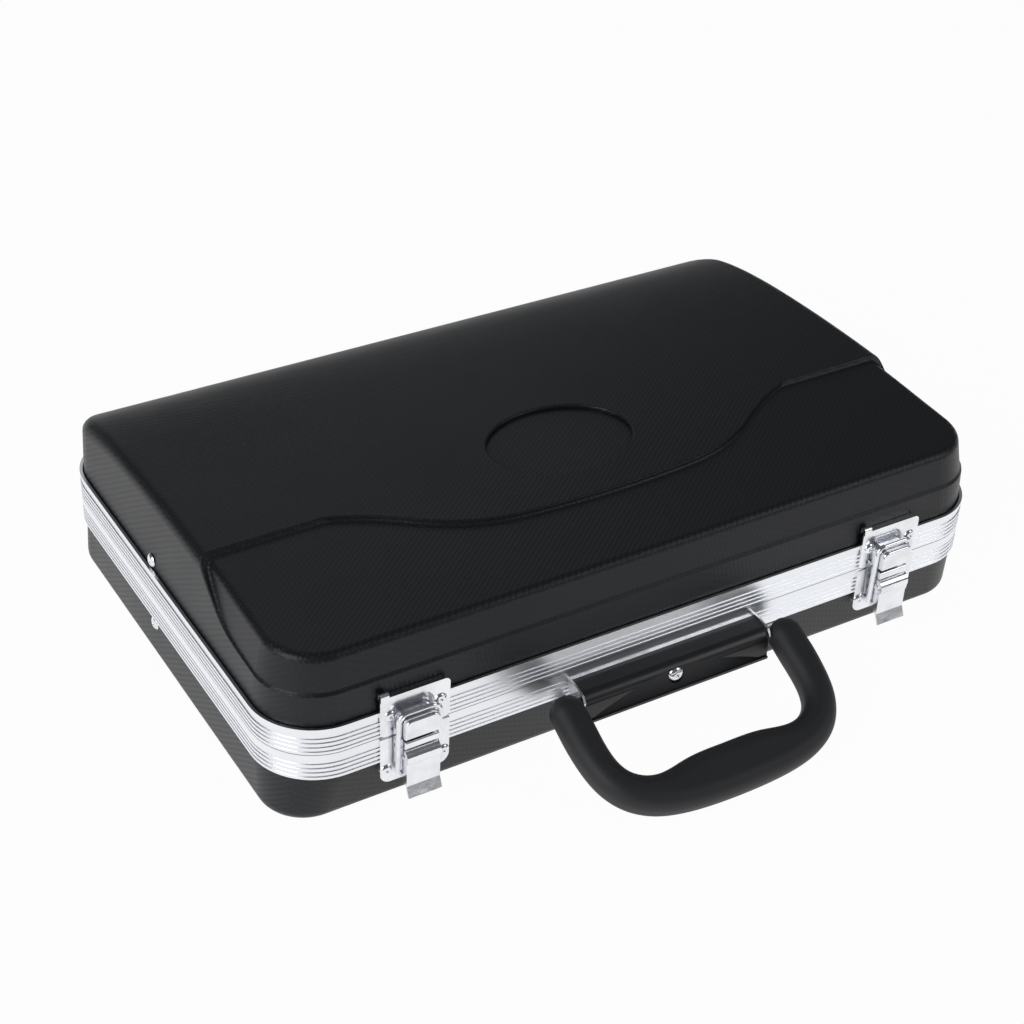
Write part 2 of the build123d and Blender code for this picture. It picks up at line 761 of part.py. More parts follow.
def latch_plate(centre):
    """Plate on the base frame with the bridge under the hook and the ears of the lever."""
    height = latch_plate_top - latch_plate_bottom
    with BuildPart() as plate:
        with BuildSketch(front_seat(centre, 0, latch_plate_top - height / 2)):
            RectangleRounded(plate_width, height, plate_corner)
            with Locations((0, height / 4)):
                Rectangle(plate_width, height / 2)
        extrude(amount=plate_wall)
        with BuildSketch(front_seat(centre, plate_wall, (latch_plate_top + bridge_bottom) / 2)):
            Rectangle(lever_width, latch_plate_top - bridge_bottom)
        extrude(amount=bridge_out - plate_wall)
        bridge_edges = plate.edges().filter_by(lambda e: e.center().Y < -half_depth - bridge_out + 0.01)
        fillet(bridge_edges, radius=bridge_round)
        ear_outer = lever_width / 2 - lever_wall - ear_gap
        neck_height = ear_neck_bottom - ear_neck_top
        neck_drop = ear_neck_top + neck_height / 2
        for ear_x in (-ear_outer, ear_outer - ear_wall):
            with BuildSketch(cross_seat(centre + ear_x, 0, lever_axis_level)) as ear:
                with Locations((lever_axis_out, 0)):
                    Circle(ear_radius)
                with Locations((lever_axis_out / 2, neck_drop)):
                    Rectangle(lever_axis_out, neck_height)
                with Locations((lever_axis_out, neck_drop / 2)):
                    Rectangle(ear_radius, neck_drop)
            extrude(amount=ear_wall)
        pin_bore = cross_seat(centre - plate_width, lever_axis_out, lever_axis_level)
        post(pin_bore, lever_pin_radius, 2 * plate_width, mode=Mode.SUBTRACT)
        for seat in plate_seats(centre):
            bore(seat, plate_rivet_radius)
    return plate.part


def latch_lever(centre):
    """Pressed channel that turns on the ears and carries the ends of the wire loop."""
    inner_width = lever_width - 2 * lever_wall
    inner_radius = lever_top_radius - lever_wall
    web_out = lever_face_out - lever_wall
    axis_point = front_point(lever_axis_out, lever_axis_level)
    with BuildPart() as lever:
        with BuildSketch(Plane.YZ.offset(centre - lever_width / 2)):
            with Locations(axis_point):
                Circle(lever_top_radius)
            with BuildLine():
                Polyline(
                    front_point(lever_inner_out, lever_axis_level),
                    front_point(lever_inner_out, lever_side_bottom + lever_side_slope),
                    front_point(web_out, lever_side_bottom),
                    front_point(lever_tip_out - lever_wall, lever_tip_level),
                    front_point(lever_tip_out, lever_tip_level),
                    front_point(lever_face_out, lever_side_bottom),
                    front_point(lever_face_out, lever_axis_level + inner_radius / 2),
                    front_point(lever_inner_out, lever_axis_level),
                )
            make_face()
        extrude(amount=lever_width)
        with BuildSketch(Plane.YZ.offset(centre - inner_width / 2)):
            with Locations(axis_point):
                Circle(inner_radius)
            with BuildLine():
                Polyline(
                    front_point(lever_axis_out, lever_axis_level + 2 * lever_top_radius),
                    front_point(-lever_axis_out, lever_axis_level + 2 * lever_top_radius),
                    front_point(-lever_axis_out, lever_side_bottom),
                    front_point(web_out, lever_side_bottom),
                    front_point(web_out, lever_axis_level),
                    front_point(lever_axis_out, lever_axis_level),
                    front_point(lever_axis_out, lever_axis_level + 2 * lever_top_radius),
                )
            make_face()
        extrude(amount=inner_width, mode=Mode.SUBTRACT)
        pin_bore = cross_seat(centre - plate_width, lever_axis_out, lever_axis_level)
        post(pin_bore, lever_pin_radius + pin_clearance, 2 * plate_width, mode=Mode.SUBTRACT)
        wire_bore = cross_seat(centre - plate_width, bail_axis_out, bail_axis_level)
        post(wire_bore, wire_radius + pin_clearance, 2 * plate_width, mode=Mode.SUBTRACT)
    return lever.part


def latch_bail(centre):
    """Wire loop from the lever's sides up and over the hook of the strike plate."""
    rise = bail_loop_level - bail_axis_level
    lean = bail_loop_out - bail_axis_out
    length = math.hypot(rise, lean)
    loop_plane = Plane(
        origin=(centre, -half_depth - bail_axis_out, parting_height + bail_axis_level),
        x_dir=(1, 0, 0),
        z_dir=(0, -rise, -lean),
    )
    end = lever_width / 2 - lever_wall - ear_gap / 2
    with BuildPart() as bail:
        with BuildLine(loop_plane) as run:
            FilletPolyline(
                (-end, 0),
                (-bail_half_width, 0),
                (-bail_half_width, length),
                (bail_half_width, length),
                (bail_half_width, 0),
                (end, 0),
                radius=[bail_end_corner, bail_corner, bail_corner, bail_end_corner],
            )
        with BuildSketch(Plane(origin=run.line @ 0, z_dir=run.line % 0)):
            Circle(wire_radius)
        sweep()
    return bail.part


for side, centre in zip(("left", "right"), latch_centres):
    save(strike_plate(centre), f"latch_{side}_strike_plate")
    save(latch_plate(centre), f"latch_{side}_base_plate")
    save(latch_lever(centre), f"latch_{side}_lever")
    save(latch_bail(centre), f"latch_{side}_bail")
    with BuildPart() as lever_pin:
        pin_half = lever_width / 2 + lever_pin_stand
        post(cross_seat(centre - pin_half, lever_axis_out, lever_axis_level), lever_pin_radius, 2 * pin_half)
    save(lever_pin.part, f"latch_{side}_lever_pin")
    with BuildPart() as strike_rivets:
        for seat in strike_seats(centre):
            grip = plate_wall + lid_flange_inset + inner_flange_wall + rivet_slack
            rivet(seat, plate_rivet_head, plate_rivet_height, plate_rivet_radius, grip)
    save(strike_rivets.part, f"latch_{side}_strike_rivets")
    with BuildPart() as plate_rivets:
        for seat in plate_seats(centre):
            skin = base_inset(latch_rivet_level, base_front_inset)
            grip = plate_wall + skin + shell_wall + front_slope * plate_rivet_head + rivet_slack
            rivet(seat, plate_rivet_head, plate_rivet_height, plate_rivet_radius, grip)
            sleeve = seat.offset(-plate_wall)
            post(sleeve, plate_rivet_head, -(skin - front_slope * plate_rivet_head - rivet_slack))
    save(plate_rivets.part, f"latch_{side}_base_rivets")

# --------------------------------------------------------------------- handle
cover_half_length = carrier_half_length - carrier_wall
rod_line = cross_seat(-half_length, handle_axis_out, handle_axis_level)
with BuildPart() as handle_carrier:
    with BuildSketch(front_seat(0, 0, (cover_top - frame_height) / 2)):
        Rectangle(2 * carrier_half_length, frame_height + cover_top)
    extrude(amount=carrier_wall)
    for cheek_x in (-carrier_half_length, carrier_half_length - carrier_wall):
        with BuildSketch(Plane.YZ.offset(cheek_x)):
            with BuildLine():
                Polyline(*outline(carrier_cheek), close=True)
            make_face()
        extrude(amount=carrier_wall)
    post(rod_line, handle_rod_radius, case_length, mode=Mode.SUBTRACT)
    post(cover_rivet_seat, cover_rivet_radius, -cover_rivet_reach, mode=Mode.SUBTRACT)
save(handle_carrier.part, "handle_carrier")

# The cover's face is stepped back inside a low arch
with BuildPart() as scoop:
    with BuildSketch(front_seat(0, 0, 0)):
        with BuildLine():
            Spline(
                (-arch_half_width, cover_bottom + cover_lip),
                (-arch_shoulder, arch_shoulder_level),
                (0, arch_level),
                (arch_shoulder, arch_shoulder_level),
                (arch_half_width, cover_bottom + cover_lip),
            )
            Line((arch_half_width, cover_bottom + cover_lip), (-arch_half_width, cover_bottom + cover_lip))
        make_face()
    extrude(amount=2 * cover_front_out)
    with BuildSketch(Plane.YZ.offset(-half_length)):
        with BuildLine():
            Polyline(
                front_point(arch_step_out, arch_level + overshoot),
                front_point(arch_foot_out, cover_bottom),
                front_point(3 * cover_front_out, cover_bottom),
                front_point(3 * cover_front_out, arch_level + overshoot),
                close=True,
            )
        make_face()
    extrude(amount=case_length, mode=Mode.INTERSECT)

with BuildPart() as handle_cover:
    with BuildSketch(Plane.YZ.offset(-cover_half_length)):
        with BuildLine():
            Polyline(*outline(cover_crown))
            ThreePointArc(*outline(cover_nose))
            Polyline(*outline(cover_face))
        make_face()
    extrude(amount=2 * cover_half_length)
    add(scoop.part, mode=Mode.SUBTRACT)
    add(base_skin, mode=Mode.SUBTRACT)
    with BuildSketch(level(-frame_height)):
        RectangleRounded(case_length, case_depth, corner_radius)
    extrude(amount=frame_height, mode=Mode.SUBTRACT)
    add(handle_carrier.part, mode=Mode.SUBTRACT)
    post(rod_line, handle_rod_radius, case_length, mode=Mode.SUBTRACT)
    post(cover_rivet_seat, cover_rivet_radius, -cover_rivet_reach, mode=Mode.SUBTRACT)
    post(cover_rivet_seat, cover_rivet_head, cover_front_out, mode=Mode.SUBTRACT)
save(handle_cover.part, "handle_cover")

grip_inner = grip_inside[-1][1]
grip_outer = grip_outside[-1][1]
grip_core = (grip_outer - grip_inner) / 2 - grip_round
flat_core = grip_thickness / 2 - grip_round
grip_reach = (grip_inner + grip_outer) / 2
lift = front_axis_z - grip_round - table_gap
handle_angle = math.asin(lift / math.hypot(grip_reach + grip_core, flat_core))
handle_angle -= math.atan2(flat_core, grip_reach + grip_core)
handle_plane = Plane(
    origin=(0, -half_depth - handle_axis_out, front_axis_z),
    x_dir=(1, 0, 0),
    z_dir=(0, math.sin(handle_angle), -math.cos(handle_angle)),
)
with BuildPart() as handle_rod:
    rod_half = arm_spacing / 2 + rod_past_arm
    post(cross_seat(-rod_half, handle_axis_out, handle_axis_level), handle_rod_radius, 2 * rod_half)
save(handle_rod.part, "handle_rod")

with BuildPart() as handle_rivet:
    rivet_grip = cover_rivet_out + base_flange_inset + inner_flange_wall + rivet_slack
    rivet(cover_rivet_seat, cover_rivet_head, cover_rivet_height, cover_rivet_radius, rivet_grip)
save(handle_rivet.part, "handle_rivet")

inner_half = (arm_spacing - arm_width) / 2
outer_half = (arm_spacing + arm_width) / 2
arm_tip = arm_end - arm_width / 2


def both_halves(start, half):
    """Outline of the grip from its left arm round to its right arm, given one half."""
    right = [(start, arm_end), *half]
    return [(-u, v) for u, v in right] + right[-2::-1]


with BuildPart() as handle_grip:
    with BuildSketch(handle_plane.offset(-grip_thickness / 2)):
        with BuildLine():
            Spline(*both_halves(outer_half, grip_outside), tangents=[(0, 1), (0, -1)])
            ThreePointArc((outer_half, arm_end), (arm_spacing / 2, arm_tip), (inner_half, arm_end))
            Spline(*both_halves(inner_half, grip_inside), tangents=[(0, 1), (0, -1)])
            ThreePointArc((-inner_half, arm_end), (-arm_spacing / 2, arm_tip), (-outer_half, arm_end))
        make_face()
    extrude(amount=grip_thickness)
    across = Axis(handle_plane.origin, handle_plane.z_dir)
    rims = handle_grip.edges().filter_by(across, reverse=True)
    fillet(rims, radius=grip_round)
    for side in (-1, 1):
        bore_start = cross_seat(side * (rod_half + arm_gap), handle_axis_out, handle_axis_level)
        post(bore_start, handle_rod_radius + pin_clearance, -side * 2 * arm_width, mode=Mode.SUBTRACT)
save(handle_grip.part, "handle_grip")

# ------------------------------------------------------------------- lid stay
elbow = (elbow_y, parting_height)
base_pivot = (stay_axis_y, parting_height - stay_axis_level)
lid_pivot = (stay_axis_y, parting_height + stay_axis_level)


def stay_link(pivot, inset, pivot_hole, elbow_hole):
    """Flat link from its pivot on the case to the elbow."""
    run = math.dist(pivot, elbow)
    slope = math.degrees(math.atan2(elbow[1] - pivot[1], elbow[0] - pivot[0]))
    middle = ((pivot[0] + elbow[0]) / 2, (pivot[1] + elbow[1]) / 2)
    with BuildPart() as link:
        with BuildSketch(Plane.YZ.offset(-half_length + inset)):
            with Locations(middle):
                SlotCenterToCenter(run, 2 * link_half_width, rotation=slope)
            with Locations(pivot):
                Circle(pivot_hole, mode=Mode.SUBTRACT)
            with Locations(elbow):
                Circle(elbow_hole, mode=Mode.SUBTRACT)
        extrude(amount=link_wall)
    return link.part


running_hole = stay_rivet_radius + pin_clearance
save(stay_link(base_pivot, link_inset, running_hole, stay_rivet_radius), "stay_base_link")
save(stay_link(lid_pivot, link_inset_inner, running_hole, running_hole), "stay_lid_link")


def stay_rivet(seat, skin, inset):
    """Shouldered rivet from the outer skin through one link."""
    with BuildPart() as fastening:
        grip = inset + link_wall - skin + rivet_slack
        rivet(seat, stay_rivet_head, stay_head, stay_rivet_radius, grip)
        shoulder = seat.offset(-(shell_wall + 5 * rivet_slack))
        post(shoulder, stay_shoulder_radius, -(inset - skin - shell_wall - 6 * rivet_slack))
    return fastening.part


save(stay_rivet(base_stay_seat, base_stay_inset, link_inset), "stay_base_rivet")
save(stay_rivet(lid_stay_seat, lid_stay_inset, link_inset_inner), "stay_lid_rivet")
with BuildPart() as stay_elbow_rivet:
    elbow_seat = left_seat(elbow_y, -link_inset, 0)
    elbow_grip = 2 * link_wall + link_gap + rivet_slack
    rivet(elbow_seat, elbow_rivet_head, elbow_rivet_height, stay_rivet_radius, elbow_grip)
save(stay_elbow_rivet.part, "stay_elbow_rivet")
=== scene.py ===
import json
import math

import bmesh
import bpy
from mathutils import Matrix, Vector
from mathutils.bvhtree import BVHTree


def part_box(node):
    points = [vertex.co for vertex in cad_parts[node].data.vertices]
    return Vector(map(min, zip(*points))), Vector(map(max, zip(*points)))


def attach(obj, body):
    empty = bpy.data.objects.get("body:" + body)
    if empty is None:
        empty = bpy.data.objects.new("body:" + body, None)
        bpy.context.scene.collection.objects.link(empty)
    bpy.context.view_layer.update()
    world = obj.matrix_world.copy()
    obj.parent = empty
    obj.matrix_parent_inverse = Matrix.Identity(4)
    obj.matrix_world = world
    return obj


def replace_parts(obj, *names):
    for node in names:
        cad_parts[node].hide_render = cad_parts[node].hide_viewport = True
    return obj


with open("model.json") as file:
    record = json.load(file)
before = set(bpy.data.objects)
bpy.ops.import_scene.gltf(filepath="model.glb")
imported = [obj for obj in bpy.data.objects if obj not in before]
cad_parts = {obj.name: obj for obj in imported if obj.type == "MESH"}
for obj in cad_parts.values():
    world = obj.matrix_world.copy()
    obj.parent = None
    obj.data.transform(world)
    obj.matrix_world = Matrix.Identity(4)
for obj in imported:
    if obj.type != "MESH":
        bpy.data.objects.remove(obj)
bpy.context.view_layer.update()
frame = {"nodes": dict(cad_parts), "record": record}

# ---------------------------------------------------------------- sizes, metres
parting_height = 0.041
mm = 0.001

# Embossed skin of the shells: pitches in millimetres, depth in metres
crown_pitch = 1.55
cross_pitch = 1.3 * crown_pitch
wall_pitch = 2.45
front_pitch = 2.2
weft_pitch = 1.4 * front_pitch
emboss_depth = 0.00009

# Relief of the other finishes, metres
drawn_depth = 0.00002
rubber_depth = 0.00005
plastic_depth = 0.00002
plate_ripple = 0.00004
chrome_ripple = 0.00006
rivet_ripple = 0.00003
wire_ripple = 0.00002
nest_pile = 0.00035
lining_pile = 0.0003
pad_pile = 0.00035

# Plush over the nest: mesh width, and rounds of smoothing that ease the foam's edges
nest_voxel = 0.0026
nest_smoothing = 9

# Lining of the lid: how far smoothing may lift it, its thickness, and its hem's height and roll
lining_voxel = 0.003
lining_smoothing = 6
lining_lift = 0.003
lining_wall = 0.001
lining_hem_level = 0.0155
hem_radius = 0.0011

# Pad of the lid: cover drawn in from the foam, then swollen below the level of its glued back
pad_voxel = 0.0028
pad_smoothing = 2
pad_inset = 0.001
pad_swell_limit = 0.0025
pad_pressure = 4.0
pad_glue_level = 0.0025
pad_frames = 20
pad_cloth_steps = 5
piping_radius = 0.0013
piping_step = 0.004

# Studio: half the floor's width, its paper's brightness, and how white it shows; the room's light
floor_reach = 6.0
floor_paper = 0.88
floor_glow = 0.97
room_colour = (0.82, 0.85, 0.9, 1.0)
room_strength = 0.15

# Camera: sensor in millimetres, focal length as a share of it, angles in degrees, place in metres
sensor_width = 36.0
focal_share = 2043 / 1024
camera_turn = 32.12
camera_dip = 34.92
camera_roll = 2.58
camera_place = (-0.4394, -0.6915, 0.6047)


# ------------------------------------------------------------ finishes, by nodes
class Signal:
    """A number, colour or vector on its way between the nodes of one finish."""

    def __init__(self, finish, socket):
        self.finish = finish
        self.socket = socket

    def __add__(self, other):
        return self.finish.math("ADD", self, other)

    def __radd__(self, other):
        return self.finish.math("ADD", other, self)

    def __sub__(self, other):
        return self.finish.math("SUBTRACT", self, other)

    def __rsub__(self, other):
        return self.finish.math("SUBTRACT", other, self)

    def __mul__(self, other):
        return self.finish.math("MULTIPLY", self, other)

    def __rmul__(self, other):
        return self.finish.math("MULTIPLY", other, self)


class Finish:
    """One finish of the case: a Principled shader and what feeds it."""

    def __init__(self, name, colour, roughness, **constants):
        self.material = bpy.data.materials.new(name)
        self.material.use_nodes = True
        self.tree = self.material.node_tree
        self.shader = self.tree.nodes["Principled BSDF"]
        self.shader.inputs["Base Color"].default_value = (*colour, 1.0)
        self.shader.inputs["Roughness"].default_value = roughness
        for socket, value in constants.items():
            self.shader.inputs[socket.replace("_", " ")].default_value = value
        self.place = self.node("ShaderNodeTexCoord", {}, {}, "Object")
        self.facing = self.node("ShaderNodeTexCoord", {}, {}, "Normal")

    def plug(self, socket, value):
        if isinstance(value, Signal):
            self.tree.links.new(value.socket, socket)
        else:
            socket.default_value = value

    def node(self, kind, settings, inputs, output=0):
        """A node of this kind, with its settings made first and then its sockets filled."""
        made = self.tree.nodes.new(kind)
        for name, value in settings.items():
            setattr(made, name, value)
        for name, value in inputs.items():
            self.plug(made.inputs[name], value)
        return Signal(self, made.outputs[output])

    def math(self, operation, *operands):
        return self.node("ShaderNodeMath", {"operation": operation}, dict(enumerate(operands)))

    def axes(self, vector):
        """The three numbers of a vector."""
        return [self.node("ShaderNodeSeparateXYZ", {}, {0: vector}, axis) for axis in range(3)]

    def scaled(self, factors):
        """The place on the object, stretched along each axis."""
        return self.node(
            "ShaderNodeVectorMath", {"operation": "MULTIPLY"}, {0: self.place, 1: factors}
        )

    def wave(self, reach, pitch):
        """A ridge from 0 to 1 at every pitch along a distance in millimetres."""
        turn = reach * (2 * math.pi / pitch)
        return self.math("SINE", turn) * 0.5 + 0.5

    def grain(self, factors, detail=2.0, rough=0.5):
        """Noise from 0 to 1 at a scale given per axis."""
        sockets = {
            "Vector": self.scaled(factors), "Scale": 1.0, "Detail": detail, "Roughness": rough,
        }
        return self.node("ShaderNodeTexNoise", {}, sockets)

    def between(self, value, low, high):
        """Value spread smoothly from low..high to 0..1."""
        reach = {"Value": value, "From Min": low, "From Max": high}
        return self.node("ShaderNodeMapRange", {"interpolation_type": "SMOOTHSTEP"}, reach)

    def tint(self, share, first, second):
        """Two colours mixed by a share from 0 to 1."""
        sockets = {0: share, 6: (*first, 1.0), 7: (*second, 1.0)}
        return self.node("ShaderNodeMix", {"data_type": "RGBA"}, sockets, 2)

    def dress(self, colour=None, roughness=None, height=None, depth=1.0, under=None):
        """Feeds colour, roughness and relief to the shader."""
        if colour:
            self.plug(self.shader.inputs["Base Color"], colour)
        if roughness:
            self.plug(self.shader.inputs["Roughness"], roughness)
        if height:
            relief = {"Height": height, "Distance": depth}
            self.plug(self.shader.inputs["Normal"], self.node("ShaderNodeBump", {}, relief))
        return self.material


def moulded_shell():
    """Black moulded plastic, embossed with a fine twill on top and slanting ribs down the sides."""
    skin = Finish("moulded_shell", (0.012, 0.013, 0.016), 0.42, Specular_IOR_Level=0.36)
    x, y, z = skin.axes(skin.scaled((1000.0, 1000.0, 1000.0)))
    side, _, up = skin.axes(skin.facing)
    wander = skin.grain((35.0, 35.0, 35.0))
    one_way = skin.wave(x * 0.72 + y * 0.69, crown_pitch)
    other_way = skin.wave(x * 0.62 - y * 0.78, cross_pitch)
    twill = one_way * other_way
    ribs = skin.wave(y * 0.56 + z * 0.83 + wander * 1.2, wall_pitch)
    streaks = skin.wave(x + z * 0.2, front_pitch) * skin.wave(z * 0.9 + x * 0.35, weft_pitch)
    crown = skin.between(up, 0.45, 0.75)
    flank = skin.between(skin.math("ABSOLUTE", side), 0.6, 0.85)
    wall = ribs * flank + streaks * (1 - flank) * 0.7
    emboss = twill * crown + wall * (1 - crown)
    pores = skin.grain((2600.0, 2600.0, 2600.0), 1.0)
    smudge = skin.grain((14.0, 14.0, 14.0), 4.0, 0.6)
    colour = skin.tint(emboss * 0.6 + pores * 0.4, (0.0065, 0.0075, 0.010), (0.0145, 0.016, 0.020))
    gloss = 0.33 + smudge * 0.14 + emboss * 0.06
    return skin.dress(colour, gloss, emboss + pores * 0.18, emboss_depth)


def ribbed_frame():
    """Anodised aluminium extrusion, drawn along its length."""
    metal = Finish("ribbed_frame", (0.86, 0.87, 0.9), 0.28, Metallic=1.0)
    drawn = metal.grain((9.0, 9.0, 5200.0), 3.0, 0.6)
    cloud = metal.grain((22.0, 22.0, 60.0), 3.0)
    colour = metal.tint(drawn * 0.7 + cloud * 0.3, (0.82, 0.84, 0.88), (0.95, 0.96, 0.985))
    return metal.dress(colour, 0.2 + drawn * 0.16 + cloud * 0.06, drawn, drawn_depth)


def plated(name, colour, roughness, ripple):
    """Bright plated steel, with the slight waviness of a pressing and fine handling marks."""
    metal = Finish(name, colour, roughness, Metallic=1.0)
    wave = metal.grain((190.0, 190.0, 190.0), 2.0)
    marks = metal.grain((900.0, 900.0, 2600.0), 3.0, 0.65)
    haze = metal.between(metal.grain((70.0, 70.0, 70.0), 4.0, 0.6), 0.35, 0.75)
    darker = tuple(0.86 * part for part in colour)
    tone = metal.tint(haze, colour, darker)
    gloss = roughness * 0.7 + haze * 0.1 + marks * 0.08
    return metal.dress(tone, gloss, wave + marks * 0.12, ripple)


def handle_rubber():
    """Soft matt black moulding with a fine spark-eroded grain and a little dust."""
    rubber = Finish("handle_rubber", (0.018, 0.019, 0.021), 0.55)
    grain = rubber.grain((1500.0, 1500.0, 1500.0), 2.0, 0.6)
    cloud = rubber.grain((28.0, 28.0, 28.0), 3.0)
    colour = rubber.tint(cloud * 0.6 + grain * 0.4, (0.013, 0.0135, 0.015), (0.026, 0.027, 0.030))
    return rubber.dress(colour, 0.47 + grain * 0.12 + cloud * 0.08, grain, rubber_depth)


def handle_plastic():
    """Semi-gloss black moulding of the handle's bracket cover."""
    plastic = Finish("handle_plastic", (0.014, 0.015, 0.017), 0.3)
    grain = plastic.grain((1100.0, 1100.0, 1100.0), 2.0)
    cloud = plastic.grain((45.0, 45.0, 45.0), 3.0)
    colour = plastic.tint(cloud, (0.011, 0.012, 0.014), (0.019, 0.02, 0.023))
    return plastic.dress(colour, 0.24 + cloud * 0.14, grain, plastic_depth)


def plush(name, base, tip_and_sheen, pile):
    """Short-pile plush: tufts lean in patches, and their sheen is painted into the colour as
    lighter patches where the pile leans.
    """
    cloth = Finish(name, base, 0.9, Sheen_Weight=0.55, Sheen_Roughness=0.35)
    tufts = cloth.grain((1900.0, 1900.0, 1900.0), 3.0, 0.7)
    lean = cloth.between(cloth.grain((48.0, 48.0, 48.0), 4.0, 0.62), 0.3, 0.72)
    # Lighter tint: the fine tufts show their tips' tone, and the lean patches are painted sheen
    tufts_and_sheen = tufts * 0.55 + lean * 0.45
    return cloth.dress(cloth.tint(tufts_and_sheen, base, tip_and_sheen), 0.82 + tufts * 0.14, tufts + lean * 0.8, pile)


plush_root = (0.012, 0.012, 0.015)
# Lighter plush colours: the tone of the fibre tips together with the painted sheen of leaning pile
plush_tip_and_sheen = (0.05, 0.05, 0.058)
pad_tip_and_sheen = (0.055, 0.055, 0.064)
chrome = (0.88, 0.89, 0.92)
finishes = {
    "moulded_shell": moulded_shell(),
    "ribbed_frame": ribbed_frame(),
    "plush_nest": plush("plush_nest", plush_root, plush_tip_and_sheen, nest_pile),
    "plush_lining": plush("plush_lining", plush_root, plush_tip_and_sheen, lining_pile),
    "plush_pad": plush("plush_pad", plush_root, pad_tip_and_sheen, pad_pile),
    "handle_rubber": handle_rubber(),
    "handle_plastic": handle_plastic(),
    "bright_steel": plated("bright_steel", (0.74, 0.74, 0.76), 0.26, plate_ripple),
    "hinge_steel": plated("hinge_steel", (0.78, 0.78, 0.79), 0.2, plate_ripple),
    "latch_chrome": plated("latch_chrome", chrome, 0.13, chrome_ripple),
    "latch_wire": plated("latch_wire", (0.86, 0.87, 0.9), 0.14, wire_ripple),
    "rivet_chrome": plated("rivet_chrome", chrome, 0.12, rivet_ripple),
}
for subpart in frame["record"]["subparts"]:
    mesh = frame["nodes"][subpart["node"]].data
    mesh.materials.clear()
    mesh.materials.append(finishes[subpart["material_slot"]])


# ------------------------------------------------------------------- soft pieces
def piece(name, mesh, slot, body):
    """A new piece of the case in its finish, riding on a body."""
    made = bpy.data.objects.new(name, mesh)
    bpy.context.scene.collection.objects.link(made)
    mesh.materials.clear()
    mesh.materials.append(finishes[slot])
    for face in mesh.polygons:
        face.use_smooth = True
    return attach(made, body)


def settled(made):
    """Bakes a piece's modifiers into its mesh."""
    bpy.context.view_layer.update()
    worked = made.evaluated_get(bpy.context.evaluated_depsgraph_get())
    mesh = bpy.data.meshes.new_from_object(worked)
    made.modifiers.clear()
    made.data = mesh
    for face in mesh.polygons:
        face.use_smooth = True


def remeshed(name, form, voxel, smoothing):
    """Even quads over a closed form, with its edges eased."""
    mesh = bpy.data.meshes.new(name)
    form.to_mesh(mesh)
    form.free()
    made = bpy.data.objects.new(name, mesh)
    bpy.context.scene.collection.objects.link(made)
    remesh = made.modifiers.new("weave", "REMESH")
    remesh.mode = "VOXEL"
    remesh.voxel_size = voxel
    ease = made.modifiers.new("ease", "SMOOTH")
    ease.factor = 0.5
    ease.iterations = smoothing
    settled(made)
    mesh = made.data
    bpy.data.objects.remove(made)
    return mesh


def nest_plush():
    """One plush skin over all the foam blocks of the nest."""
    blocks = [name for name in frame["nodes"] if name.startswith("nest_")]
    form = bmesh.new()
    for name in blocks:
        form.from_mesh(frame["nodes"][name].data)
    bmesh.ops.remove_doubles(form, verts=form.verts, dist=1e-6)
    mesh = remeshed("nest_plush", form, nest_voxel, nest_smoothing)
    nest = piece("nest_plush", mesh, "plush_nest", "base")
    rounder = nest.modifiers.new("round", "SUBSURF")
    rounder.levels = rounder.render_levels = 1
    settled(nest)
    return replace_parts(nest, *blocks)


def lining_plush():
    """Plush glued to the inside of the lid, with a rolled hem along its rim."""
    form = bmesh.new()
    form.from_mesh(frame["nodes"]["lid_lining"].data)
    bmesh.ops.remove_doubles(form, verts=form.verts, dist=1e-5)
    low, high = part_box("lid_lining")
    heart = Vector(((low.x + high.x) / 2, (low.y + high.y) / 2, low.z))
    outside = []
    for face in form.faces:
        middle = face.calc_center_median()
        rim = face.normal.z < -0.9 and middle.z < low.z + mm
        if rim or face.normal.dot(heart - middle) < 0:
            outside.append(face)
    bmesh.ops.delete(form, geom=outside, context="FACES")
    loose = [vertex for vertex in form.verts if not vertex.link_faces]
    bmesh.ops.delete(form, geom=loose, context="VERTS")
    bmesh.ops.holes_fill(form, edges=[edge for edge in form.edges if edge.is_boundary], sides=0)
    bmesh.ops.triangulate(form, faces=form.faces)
    bmesh.ops.recalc_face_normals(form, faces=form.faces)
    mesh = remeshed("lining_plush", form, lining_voxel, lining_smoothing)
    glue_down(mesh)
    open_form = bmesh.new()
    open_form.from_mesh(mesh)
    rim_level = parting_height + lining_hem_level
    bmesh.ops.bisect_plane(
        open_form, geom=open_form.verts[:] + open_form.edges[:] + open_form.faces[:],
        plane_co=(0, 0, rim_level), plane_no=(0, 0, -1), clear_outer=True,
    )
    rim = rim_points(open_form)
    open_form.to_mesh(mesh)
    open_form.free()
    lining = piece("lining_plush", mesh, "plush_lining", "lid")
    wall = lining.modifiers.new("backing", "SOLIDIFY")
    wall.thickness = lining_wall
    wall.offset = 1.0
    settled(lining)
    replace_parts(lining, "lid_lining")
    hem = bead_along("lining_hem", rim, hem_radius, "plush_lining", "lid")
    return lining, hem


def glue_down(mesh):
    """Lays the lining back under the crown wherever smoothing lifted it into the shell."""
    solid = frame["nodes"]["lid_lining"].data
    places = [vertex.co.copy() for vertex in solid.vertices]
    tree = BVHTree.FromPolygons(places, [face.vertices[:] for face in solid.polygons])
    for vertex in mesh.vertices:
        start = Vector((vertex.co.x, vertex.co.y, parting_height))
        hit = tree.ray_cast(start, Vector((0, 0, 1)))[0]
        if hit and 0 < vertex.co.z - hit.z < lining_lift:
            vertex.co.z = hit.z


def rim_points(form):
    """Points round the one open edge of a form, in order."""
    edges = [edge for edge in form.edges if edge.is_boundary]
    here = edges[0].verts[0]
    seen = {here}
    points = [here.co.copy()]
    while True:
        ahead = [edge.other_vert(here) for edge in here.link_edges if edge.is_boundary]
        ahead = [vertex for vertex in ahead if vertex not in seen]
        if not ahead:
            return points
        here = ahead[0]
        seen.add(here)
        points.append(here.co.copy())


